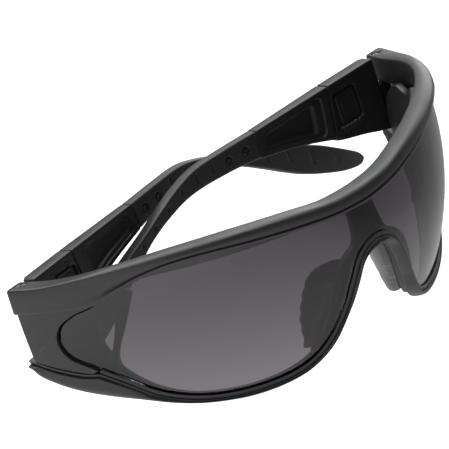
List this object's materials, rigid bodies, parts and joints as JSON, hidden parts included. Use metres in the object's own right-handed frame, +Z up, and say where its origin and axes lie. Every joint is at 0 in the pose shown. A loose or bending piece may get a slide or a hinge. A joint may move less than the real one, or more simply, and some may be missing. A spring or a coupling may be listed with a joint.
{
  "type": "safety glasses",
  "caption": "Wraparound safety glasses with a tinted one-piece lens, matte black frame and folding temples with soft rubber tips, shown folded.",
  "frame": {"origin": "middle of the base of the whole object's box, temples folded", "axes": "+X from the wearer's right to left as seen from in front of the lens, +Y from the lens towards the wearer, +Z up"},
  "size_m": [0.1414, 0.0736, 0.0479],
  "materials": {
    "frame_black": "matte",
    "soft_black": "matte",
    "lens_tint": "gloss",
    "pad_rubber": "satin",
    "pin_steel": "satin"
  },
  "bodies": {
    "front": {"brow_bar": "frame_black", "lower_rim": "frame_black", "lens": "lens_tint", "lens_carrier": "frame_black", "lens_seal": "soft_black", "side_panel_right": "frame_black", "side_panel_left": "frame_black", "nose_pad_right": "pad_rubber", "nose_pad_left": "pad_rubber", "nose_clip_right": "frame_black", "nose_clip_left": "frame_black", "hinge_pin_right": "pin_steel", "hinge_pin_left": "pin_steel"},
    "temple_right": {"temple_base_right": "frame_black", "base_plate_right": "frame_black", "temple_arm_right": "frame_black", "temple_tip_right": "soft_black", "temple_core_right": "pin_steel", "tip_rivet_1_right": "frame_black", "tip_rivet_2_right": "frame_black"},
    "temple_left": {"temple_base_left": "frame_black", "base_plate_left": "frame_black", "temple_arm_left": "frame_black", "temple_tip_left": "soft_black", "temple_core_left": "pin_steel", "tip_rivet_1_left": "frame_black", "tip_rivet_2_left": "frame_black"}
  },
  "joints": [
    {"name": "temple_right_hinge", "type": "hinge", "parent": "front", "child": "temple_right", "pos_m": [0.06645, 0.02235, 0.03546], "axis": [0, 0, -1], "range_deg": [0, 87.8], "deforming": ["temple_tip_right", "temple_core_right"]},
    {"name": "temple_left_hinge", "type": "hinge", "parent": "front", "child": "temple_left", "pos_m": [-0.06645, 0.02235, 0.03546], "axis": [0, 0, 1], "range_deg": [0, 82], "deforming": ["temple_tip_left", "temple_core_left"]}
  ]
}
